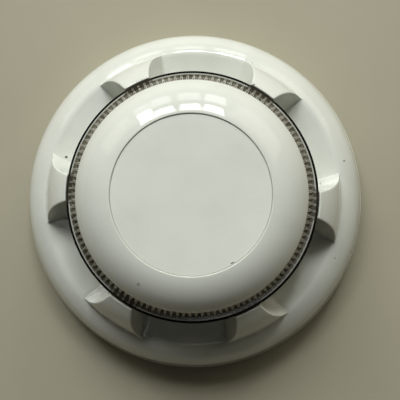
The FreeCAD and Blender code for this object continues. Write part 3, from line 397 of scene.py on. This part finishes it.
def housing_rows():
    """Rows as (radius, ground height, rise), from the opening out and down the skirt."""
    under = board_high.z - chamber_drop
    inside = opening + opening_edge
    rows = [(opening + chamber_lap, under, 0.0), (opening, under, 0.0)]
    rows.append((opening, floor_low - opening_edge, 0.0))
    rows.append((opening + opening_round, floor_low - opening_round, 0.0))
    rows.append((inside, floor_height(inside), 0.0))
    rows += [(across, ground(across), cover_seat - ground(across)) for across in behind_step]
    fine = list(step_radius + np.array(crown_rows))
    for start, end, step in face_rows:
        fine += list(np.arange(start, end, step))
    rows += [(across, ground(across), buttress_rise(across)) for across in fine]
    start = math.asin((rim_start - round_across) / rim_round)
    for turn in np.linspace(start, math.pi / 2 - skirt_draft, 30):
        across = round_across + rim_round * math.sin(turn)
        rows.append((across, round_up + rim_round * math.cos(turn), 0.0))
    edge = softened([
        (turn_radius, skirt_turn, 0),
        (skirt_radius, skirt_low, skirt_edge),
        (skirt_radius - skirt_wall, skirt_low, skirt_edge),
        (turn_radius - skirt_wall, skirt_turn, 0),
    ], 4)
    return rows + [(across, up, 0.0) for across, up in edge[1:]]


rows = housing_rows()
sector_size = 2 * (FLOOR + WALL + CROWN + FACE) - 1
points = np.zeros((len(rows), buttress_count * sector_size, 3))
crease = np.zeros((len(rows), buttress_count * sector_size))
for row, (across, up, rise) in enumerate(rows):
    half = half_section(across, rise)
    sector = [(seam - half[0][0], *half[0][1:])]
    sector += [(-angle, lift, near) for angle, lift, near in half[1:-1]]
    angle, lift, near = np.array(sector + half[::-1]).T
    foot = math.exp(-abs(across - face_shade_dust) / face_shade_dust_width) * (np.abs(angle) < foot_angle)
    crease[row] = np.tile(np.minimum(near + foot * face_shade_dust_share, 1), buttress_count)
    for number in range(buttress_count):
        turn = number * 2 * half_sector + angle
        circle = np.stack([across * np.cos(turn), across * np.sin(turn), up + lift], 1)
        points[row, number * sector_size:(number + 1) * sector_size] = circle
housing = grid_piece("housing_shell", "head", points[::-1], ["outer_housing"])
layer = housing.data.attributes.new("crease", "FLOAT", "POINT")
layer.data.foreach_set("value", crease[::-1].reshape(-1).astype(np.float32))
print("rows", len(rows), "highest", round(points[:, :, 2].max(), 3))

# %% [markdown]
# ## Chamber cover and screen
# Under the ribs lies a flat black cover, and its rim shows as a thin black circle between white
# buttresses and clear ribs. Behind the inlets a fine steel mesh keeps insects out of the chamber. Its
# wires could be modelled one by one, but they are much finer than the picture shows, so the mesh is
# a plain band, and its material leaves the holes open.

# %% Cover and insect mesh
cover_inside = 28.0
cover_flat = cover_radius - 2
cover_line = softened([
    (cover_inside, cover_low.z, 0),
    (cover_radius, cover_low.z, 0.12),
    (cover_radius, ring_low.z, 0.25),
    (cover_flat, ring_low.z, 0),
    (cover_inside, ring_low.z, 0),
])
cover = lathe("cover_face", "head", cover_line, ["chamber_cover"], 240)
mesh_radius = screen_high.x - 0.3
mesh_frame = 0.4
mesh_heights = np.linspace(screen_low.z + mesh_frame, screen_high.z - mesh_frame, 8)
screen_mesh = lathe("screen_mesh", "head", [(mesh_radius, up) for up in mesh_heights], (), 180)

# %% [markdown]
# ## Shader sums as plain Python
# A finish is a small formula over position, noise and wear. Its nodes could be placed and linked one
# by one, but then nobody can read the formula. This class wraps a socket, so that a formula is a line
# of Python and each operator adds its Math node.

# %% Sockets as values
class Value:
    """A socket of a material's node tree that takes part in sums."""

    def __init__(self, finish, socket):
        self.finish = finish
        self.socket = socket

    def _sum(self, operation, *values):
        return self.finish.node("Math", {"operation": operation}, dict(enumerate(values)))

    def __add__(self, other):
        return self._sum("ADD", self, other)

    def __radd__(self, other):
        return self._sum("ADD", other, self)

    def __sub__(self, other):
        return self._sum("SUBTRACT", self, other)

    def __rsub__(self, other):
        return self._sum("SUBTRACT", other, self)

    def __mul__(self, other):
        return self._sum("MULTIPLY", self, other)

    def __rmul__(self, other):
        return self._sum("MULTIPLY", other, self)

    def __truediv__(self, other):
        return self._sum("DIVIDE", self, other)

    def __rtruediv__(self, other):
        return self._sum("DIVIDE", other, self)

    def __pow__(self, other):
        return self._sum("POWER", self, other)

    def __rpow__(self, other):
        return self._sum("POWER", other, self)

    def least(self, other):
        return self._sum("MINIMUM", self, other)

    def most(self, other):
        return self._sum("MAXIMUM", self, other)

    def sine(self):
        return self._sum("SINE", self)

    def size(self):
        return self._sum("ABSOLUTE", self)

    def over(self, low, high):
        """Rises from 0 to 1 as the value goes from low to high."""
        ends = {"Value": self, "From Min": low, "From Max": high}
        return self.finish.node("MapRange", {"interpolation_type": "SMOOTHSTEP"}, ends)


print("besides + - * / ** a socket has", ", ".join(name for name in vars(Value) if name[0] != "_"))

# %% [markdown]
# ## A finish and its nodes
# Every finish starts from the same values: where a point lies, in millimetres, how far it is from the
# axis and at which turn. UV coordinates would have to be laid out for each piece first. The object
# coordinates of the pieces made here are those of the frame, so one formula fits them all. Any other
# node, such as a noise or a blend of two colours, comes from one method.

# %% Finishes
class Finish:
    """A material with its formulas. Lengths in them are in millimetres."""

    def __init__(self, name):
        self.material = bpy.data.materials.new(name)
        self.material.use_nodes = True
        self.tree = self.material.node_tree
        self.shader = self.tree.nodes["Principled BSDF"]
        place = self.node("TexCoord", {}, {}, "Object")
        self.place = self.node("VectorMath", {"operation": "SCALE"}, {0: place, "Scale": 1 / MM})
        self.x, self.y, self.z = (
            self.node("SeparateXYZ", {}, {0: self.place}, axis) for axis in "XYZ"
        )
        self.radius = (self.x * self.x + self.y * self.y) ** 0.5
        self.turn = self.node("Math", {"operation": "ARCTAN2"}, {0: self.y, 1: self.x})

    def put(self, socket, value):
        if isinstance(value, Value):
            self.tree.links.new(value.socket, socket)
        else:
            socket.default_value = value

    def node(self, kind, settings, sockets, output=0):
        """Adds a node of any kind: settings first, then values or links on its sockets."""
        made = self.tree.nodes.new("ShaderNode" + kind)
        for name, value in settings.items():
            setattr(made, name, value)
        for name, value in sockets.items():
            self.put(made.inputs[name], value)
        return Value(self, made.outputs[output])

    def noise(self, size, detail=3.0, place=None):
        """Noise from about 0 to 1 with a grain of about that size."""
        sockets = {"Vector": place or self.place, "Scale": 1 / size, "Detail": detail}
        sockets["Roughness"] = 0.55
        return self.node("TexNoise", {}, sockets, "Fac")

    def mix(self, low, high, share):
        """Blends two colours."""
        return self.node("Mix", {"data_type": "RGBA"}, {0: share, 6: low, 7: high}, 2)

    def bump(self, height, depth):
        """Feeds the shader's normal from a height, with the depth in millimetres."""
        sockets = {"Height": height * depth, "Distance": MM, "Strength": 1.0}
        self.put(self.shader.inputs["Normal"], self.node("Bump", {}, sockets))

    def set(self, **values):
        """Puts values on the shader: roughness=0.3, base_color=..., ior=..."""
        for name, value in values.items():
            socket = name.replace("_", " ").title().replace("Ior", "IOR")
            self.put(self.shader.inputs[socket], value)

    def wear(self, *pieces, slot=None):
        """Gives this finish to pieces or CAD nodes."""
        for piece in pieces:
            piece = nodes[piece] if isinstance(piece, str) else piece
            piece.data.materials.clear()
            piece.data.materials.append(self.material)


print("a finish knows x, y, z, radius and turn of each point")

# %% [markdown]
# ## Colours
# A picture stores colours on a curve, while a shader counts light. The values could be guessed by
# eye, but a colour that is read off the real thing as a picture shows it, from 0 to 255, is easier
# to judge. So this function turns one into the other.

# %% Colours as a picture shows them
def colour(red, green, blue):
    """A colour for a shader from values as a picture shows them, from 0 to 255."""
    def level(value):
        share = value / 255
        return share / 12.92 if share < 0.04045 else ((share + 0.055) / 1.055) ** 2.4
    return level(red), level(green), level(blue), 1.0


print("the colour of the plastic:", [round(v, 3) for v in colour(236, 238, 228)])

# %% [markdown]
# ## White plastic
# The housing is polished ABS, slightly green in the shade as old white plastic is. A plain white
# would do from afar. Up close a polished mould leaves a very shallow wave and hands leave uneven
# gloss.
# The creases at the feet of the buttresses are painted darker, as shade and some dust, and more so
# towards negative y, the side turned from the window. So the finish has all three, and small marks at
# the places where the real one is scuffed or stained.

# %% White plastic of any tone and gloss
# The colour of dirt, and of the painted shade in the creases.
dirt_and_shade_colour = colour(46, 42, 34)


def mark(plastic, x, y, length, width, turn, depth):
    """A spot with a ragged edge: its centre, half its length and width, its turn and how dark."""
    along_it = (plastic.x - x) * math.cos(turn) + (plastic.y - y) * math.sin(turn)
    across_it = (plastic.y - y) * math.cos(turn) - (plastic.x - x) * math.sin(turn)
    away = ((along_it / length) ** 2 + (across_it / width) ** 2) ** 0.5
    ragged = away + plastic.noise(0.4) * 0.8 - 0.4
    return (1 - ragged.over(0.5, 1.1)) * depth


def white_plastic(name, tone, gloss, marks=(), creases=False):
    plastic = Finish(name)
    # The grains are in millimetres: two waves of the mould, then the finest scratches.
    wave = plastic.noise(9, 2) * 0.6 + plastic.noise(2.2, 2) * 0.06
    plastic.bump(wave + plastic.noise(0.35, 2) * 0.02, 0.035)
    cloud = plastic.noise(16, 4)
    darker = [level - 7 for level in tone]
    base = plastic.mix(colour(*tone), colour(*darker), cloud.over(0.35, 0.75))
    # Fine specks of real dirt; on the housing, painted shade and dust in the creases are added to
    # them.
    dirt_and_shade = plastic.noise(1.1, 5).over(0.62, 0.8) * 0.05
    if creases:
        crease = plastic.node("Attribute", {"attribute_name": "crease"}, {}, "Fac")
        # Painted shade: the creases are darker towards negative y, the side turned from the window.
        crease_shade_strength = (0 - plastic.y).over(0.0, 40.0) * 0.25 + 0.03
        dirt_and_shade = dirt_and_shade + crease * plastic.noise(2.4, 4).over(0.3, 0.7) * crease_shade_strength
    for place in marks:
        dirt_and_shade = dirt_and_shade + mark(plastic, *place)
    dirt_and_shade = dirt_and_shade.least(1.0)
    plastic.set(base_color=plastic.mix(base, dirt_and_shade_colour, dirt_and_shade))
    plastic.set(roughness=cloud * 0.03 + gloss + dirt_and_shade * 0.3, ior=1.52)
    print(name, "with", len(plastic.tree.nodes), "nodes")
    return plastic


# %% [markdown]
# ## Marks and tones
# Housing and dome are the same plastic, but the dome is polished more, and its window reflections
# are sharper. The disc is a shade duller, and the base, which nobody looks at, has a matt mould. One
# finish for all would look like a toy, so each gets its tone, its gloss and its own marks.

# %% Housing, dome, disc and base
white = (233, 236, 226)
# A mark has its place, half its length and width, its turn and how dark it is.
housing_marks = [
    (-40.6, 10.2, 0.5, 0.42, 0.0, 1.0),
    (-45.54, -1.7, 1.3, 0.28, 1.6, 0.8),
    (46.07, 14.9, 0.5, 0.25, 0.2, 0.85),
    (44.98, -15.42, 0.35, 0.3, 0.6, 0.45),
    (15.36, 43.46, 0.25, 0.22, 0.0, 0.4),
    (38.6, 7.1, 0.5, 0.2, 1.2, 0.5),
    (15.75, 33.9, 0.45, 0.35, 0.5, 0.8),
]
housing_plastic = white_plastic("white_plastic_housing", white, 0.06, housing_marks, creases=True)
housing_plastic.wear(housing, slot="white_plastic")
dome_marks = [(-12.78, -25.64, 0.62, 0.6, 0.0, 0.4)]
dome_plastic = white_plastic("white_plastic_dome", white, 0.04, dome_marks)
dome_plastic.wear(dome, slot="white_plastic")
disc_marks = [(12.6, -17.9, 0.7, 0.22, 0.5, 0.9)]
disc_plastic = white_plastic("disc_plastic", (235, 238, 228), 0.14, disc_marks)
disc_plastic.wear(disc, slot="disc_plastic")
base_plastic = white_plastic("base_plastic", (228, 229, 216), 0.28)
base_plastic.wear("mounting_base", "rear_plate")

# %% [markdown]
# ## Smoky clear ribs
# The ring that lights up is clear acrylic with a grey tint. Each rib is a small lens, so that the
# ring shows alternating bright and dark lines. Full glass would show them too, but it needs many
# samples and turns black in a dark room. So the ribs let only a little light through, and the bright
# line on both flanks of a crest is a painted highlight in their colour. In front of the inlets a thin
# painted highlight runs along the flange's edge. The flange is painted dark, and beside the buttresses
# darker still as painted shade.

# %% Clear ring
def beside_buttresses(finish):
    """1 next to a buttress and 0 next to an inlet."""
    return (finish.turn * buttress_count + math.pi / 2).sine().over(0.66, 0.8)


rib_count = 120
flange_height = 0.8
clear = Finish("smoky_clear")
flange_top = ring_low.z + flange_height
up = ((clear.z - flange_top) / (ring_high.z - flange_top)).most(0.0)
rib = clear.turn * (rib_count / (2 * math.pi))
from_crest = (rib - clear.node("Math", {"operation": "ROUND"}, {0: rib})).size()
# Painted highlight: a bright line on both flanks of each rib's crest.
painted_glint = 1 - (from_crest - (up * 0.17 + 0.09)).size().over(0.02, 0.09)
painted_glint = painted_glint * (up + 0.15).over(0.0, 0.3) * clear.noise(2.5).over(0.25, 0.5)
# Painted highlight: a thin light line along the flange's edge in front of the inlets.
edge = clear.radius.over(ring_high.x - 0.42, ring_high.x - 0.3) * (1 - beside_buttresses(clear))
smoke = clear.mix(colour(146, 142, 126), colour(100, 96, 80), clear.noise(4, 4).over(0.4, 0.65))
# The flange is painted dark brown, and beside the buttresses darker still as painted shade.
flange = clear.radius.over(ring_high.x - 1.1, ring_high.x - 0.8)
smoke = clear.mix(smoke, colour(60, 55, 42), flange * (beside_buttresses(clear) * 0.35 + 0.5))
clear.set(base_color=clear.mix(smoke, colour(226, 228, 216), painted_glint.most(edge * 0.75)))
clear.set(roughness=clear.noise(3) * 0.1 + 0.1)
clear.set(transmission_weight=0.2, ior=1.49)
clear.wear("light_ring")
print(rib_count, "ribs on the clear ring")

# %% [markdown]
# ## Black plastic
# The cover under the ribs, the labyrinth and its lid are matt black, so that no stray light reaches
# the sensor. A pure black would swallow the edges, so it has a little grain. Beside the buttresses the
# cover's rim gets painted shade, a dull brown; in front of the inlets it stays black.

# %% Cover and labyrinth
black = Finish("black_plastic")
shade = black.mix(colour(8, 8, 7), colour(18, 17, 15), black.noise(2).over(0.5, 0.8))
# Painted shade: the cover's rim is brown beside the buttresses.
rim_painted_shade = beside_buttresses(black) * black.radius.over(cover_radius - 1.5, cover_radius - 1.0) * 0.9
black.set(base_color=black.mix(shade, colour(50, 45, 34), rim_painted_shade))
black.set(roughness=black.noise(4) * 0.15 + 0.5, specular_ior_level=0.08)
black.bump(black.noise(0.3, 2), 0.01)
black.wear(cover, slot="black_plastic")
black.wear("chamber_base", "labyrinth", "chamber_lid")
print("black plastic on cover_face and three nodes")

# %% [markdown]
# ## Metals, glass and electronics
# Nearly all of these sit inside, and grey would do for the picture. They still get the finish of the
# real thing, because the model is looked at from all sides: brushed brass for the contacts,
# zinc-plated screws, green solder mask and dark epoxy. Two short functions make them all.

# %% Inside finishes
def brushed_metal(name, tone, shade, gloss, *pieces):
    finish = Finish(name)
    brushed = {0: finish.x * 0.3, 1: finish.y * 3, 2: finish.z * 3}
    streak = finish.noise(1, 4, place=finish.node("CombineXYZ", {}, brushed))
    finish.set(base_color=finish.mix(colour(*tone), colour(*shade), streak.over(0.4, 0.75)))
    finish.set(roughness=streak * 0.2 + gloss, metallic=1.0)
    finish.bump(streak, 0.01)
    finish.wear(*pieces)
    print(name, "on", len(pieces), "nodes")


def grained(name, tone, shade, gloss, *pieces):
    finish = Finish(name)
    grain = finish.noise(0.6, 4)
    finish.set(base_color=finish.mix(colour(*tone), colour(*shade), grain.over(0.4, 0.75)))
    finish.set(roughness=grain * 0.15 + gloss)
    finish.bump(grain, 0.02)
    finish.wear(*pieces)
    print(name, "on", len(pieces), "nodes")


def numbered(label, count):
    return [f"{label}_{number}" for number in range(1, count + 1)]


brushed_metal("zinc_steel", (196, 197, 200), (160, 160, 162), 0.25,
              "terminal_screws", "rear_screws", "cover_screws", "dome_screws",
              *numbered("clamp_plate", 4))
brushed_metal("brass", (206, 178, 112), (170, 138, 78), 0.25,
              *numbered("contact_spring", 4), *numbered("contact_blade", 4))
brushed_metal("can_aluminium", (190, 192, 194), (150, 150, 150), 0.3, "electrolytic_capacitor")
brushed_metal("screen_steel", (150, 148, 142), (120, 116, 110), 0.35, "insect_screen")
grained("solder_mask", (24, 92, 52), (16, 70, 42), 0.3, "circuit_board", "lamp_board")
grained("epoxy", (30, 30, 32), (20, 20, 22), 0.45, "microcontroller", "suppressor_coil", "photodiode")
grained("reed_glass", (150, 176, 160), (120, 150, 130), 0.12, "reed_switch")
grained("lens_tint", (120, 96, 120), (90, 70, 96), 0.1, "infrared_emitter", "receiver_lens")
grained("lamp_red", (196, 60, 48), (170, 40, 34), 0.15, *numbered("indicator_lamp", 3))
grained("ribbon", (170, 170, 168), (150, 150, 150), 0.4, "lamp_ribbon")

# %% [markdown]
# ## Woven steel
# The insect mesh is a plain weave of fine steel wire. An image could show it, but it would blur up
# close. Two sine waves, one round the mesh and one up, give the wires at any distance, and where
# neither has a wire the material is see-through.

# %% Insect mesh
pitch = 0.9
weave = Finish("steel_weave")
wires = (weave.turn * (mesh_radius * math.pi / pitch)).sine() ** 2
threads = (weave.z * (math.pi / pitch)).sine() ** 2
weave.set(base_color=weave.mix(colour(112, 110, 104), colour(150, 148, 142), weave.noise(2)))
weave.set(metallic=1.0, roughness=weave.noise(1) * 0.2 + 0.3)
weave.set(alpha=wires.most(threads).over(0.72, 0.8))
weave.wear(screen_mesh, slot="screen_metal")
print("wires", pitch, "mm apart")

# %% [markdown]
# ## Floor
# The detector lies on its back. A curved backdrop could stand behind it, but the photo looks straight
# down, so a plain pale plane is enough, much wider than the picture. It lies a hair under the base,
# because two faces in one plane would flicker.

# %% Floor
reach = 3.0
floor_gap = 0.0002
floor_mesh = bpy.data.meshes.new("floor")
floor_mesh.from_pydata(
    [(-reach, -reach, 0), (reach, -reach, 0), (reach, reach, 0), (-reach, reach, 0)],
    [], [(0, 1, 2, 3)],
)
floor = bpy.data.objects.new("floor", floor_mesh)
bpy.context.scene.collection.objects.link(floor)
floor.location.z = -floor_gap
stone = Finish("pale_floor")
stone.set(base_color=stone.mix(colour(180, 175, 154), colour(170, 165, 144), stone.noise(40)))
stone.set(roughness=0.7, specular_ior_level=0.2)
stone.wear(floor)
print("floor", 2 * reach, "m wide")

# %% [markdown]
# ## Camera
# The photo was taken from about a quarter of a metre straight above. A constraint could aim the
# camera, but it would turn the picture as it likes. Here the picture's own right and up are worked
# out from its turn over the floor, so that the frame stands as in the photo. Place and lens come from
# the circles in the photo, by their sizes and by how far their centres lie apart.

# %% Camera
photo_turn = math.radians(3.91)
right = Vector((math.cos(photo_turn), math.sin(photo_turn), 0))
image_up = Vector((-math.sin(photo_turn), math.cos(photo_turn), 0))
eye = Vector((6.59, -8.66, 255.8)) * MM
target = Vector((1.75, 0.27, 0)) * MM
ahead = (target - eye).normalized()
upward = right.cross(ahead).normalized()
sideways = ahead.cross(upward)
camera_data = bpy.data.cameras.new("camera")
camera_data.lens = 69.1
camera_data.clip_start = 0.01
camera = bpy.data.objects.new("camera", camera_data)
camera.matrix_world = Matrix((
    (sideways.x, upward.x, -ahead.x, eye.x),
    (sideways.y, upward.y, -ahead.y, eye.y),
    (sideways.z, upward.z, -ahead.z, eye.z),
    (0, 0, 0, 1),
))
bpy.context.scene.collection.objects.link(camera)
bpy.context.scene.camera = camera
print("camera", round((eye - target).length / MM), "mm from the floor")

# %% [markdown]
# ## Window light
# The light comes from a window beyond the top of the picture, and its panes show in the dome. One
# large lamp would light the plastic as softly, but would leave a single blank reflection. So the
# window is four columns of panes in two rows with one more pane beside them, and two warm walls and a
# patch of ceiling stand for the rest of the room. A pane's brightness doesn't depend on its size,
# because its power is worked out from its area.

# %% Window, walls and ceiling
light_distance = 1.2
daylight = (0.98, 1.0, 1.0)
warm = (1.0, 0.94, 0.76)


def panel(name, tilts, swings, brightness, tint):
    """A light between two angles from the zenith and two from the picture's top, in degrees."""
    tilt = math.radians(sum(tilts) / 2)
    swing = math.radians(sum(swings) / 2)
    flat = (image_up * math.cos(swing) + right * math.sin(swing)) * math.sin(tilt)
    place = (flat + Vector((0, 0, math.cos(tilt)))) * light_distance
    data = bpy.data.lights.new(name, "AREA")
    data.shape = "RECTANGLE"
    data.size = light_distance * math.sin(tilt) * math.radians(swings[1] - swings[0])
    data.size_y = light_distance * math.radians(tilts[1] - tilts[0])
    data.energy = brightness * math.pi * data.size * data.size_y
    data.color = tint
    light = bpy.data.objects.new(name, data)
    light.rotation_euler = place.to_track_quat("Z", "Y").to_euler()
    light.location = place
    bpy.context.scene.collection.objects.link(light)
    print(name, round(data.energy, 3), "W")


# A column has the angles of its sides and its brightness, a row its name, its angles and its share.
window_columns = (((-35, -25.5), 13), ((-24.5, -13), 16), ((-9, 3.5), 15), ((6, 18), 22.5))
window_rows = (("upper", (34, 47.5), 0.95), ("lower", (56.5, 76), 0.16))
for height, tilts, share in window_rows:
    for column, (swings, brightness) in enumerate(window_columns):
        panel(f"{height}_pane_{column}", tilts, swings, brightness * share, daylight)
panel("side_pane", (47.5, 58), (-35, -25.5), 11, daylight)
panel("left_wall", (45, 76), (-62, -38), 1.0, warm)
panel("right_wall", (35, 76), (24, 62), 1.2, warm)
panel("ceiling", (1, 14), (60, 190), 0.8, daylight)

# %% [markdown]
# ## The room
# The rest of the room is nearly dark in the photo, with a warm tint. A brighter world would fill all
# shadows and take the depth out of the inlets, so it stays faint. The view transform is Standard, so
# that a colour comes out as it is written.

# %% Room
world = bpy.data.worlds.new("room")
world.use_nodes = True
room = world.node_tree.nodes["Background"]
room.inputs["Color"].default_value = (0.90, 0.81, 0.62, 1)
room.inputs["Strength"].default_value = 0.02
bpy.context.scene.world = world
bpy.context.scene.view_settings.view_transform = "Standard"
print("room light", room.inputs["Strength"].default_value)

# %% [markdown]
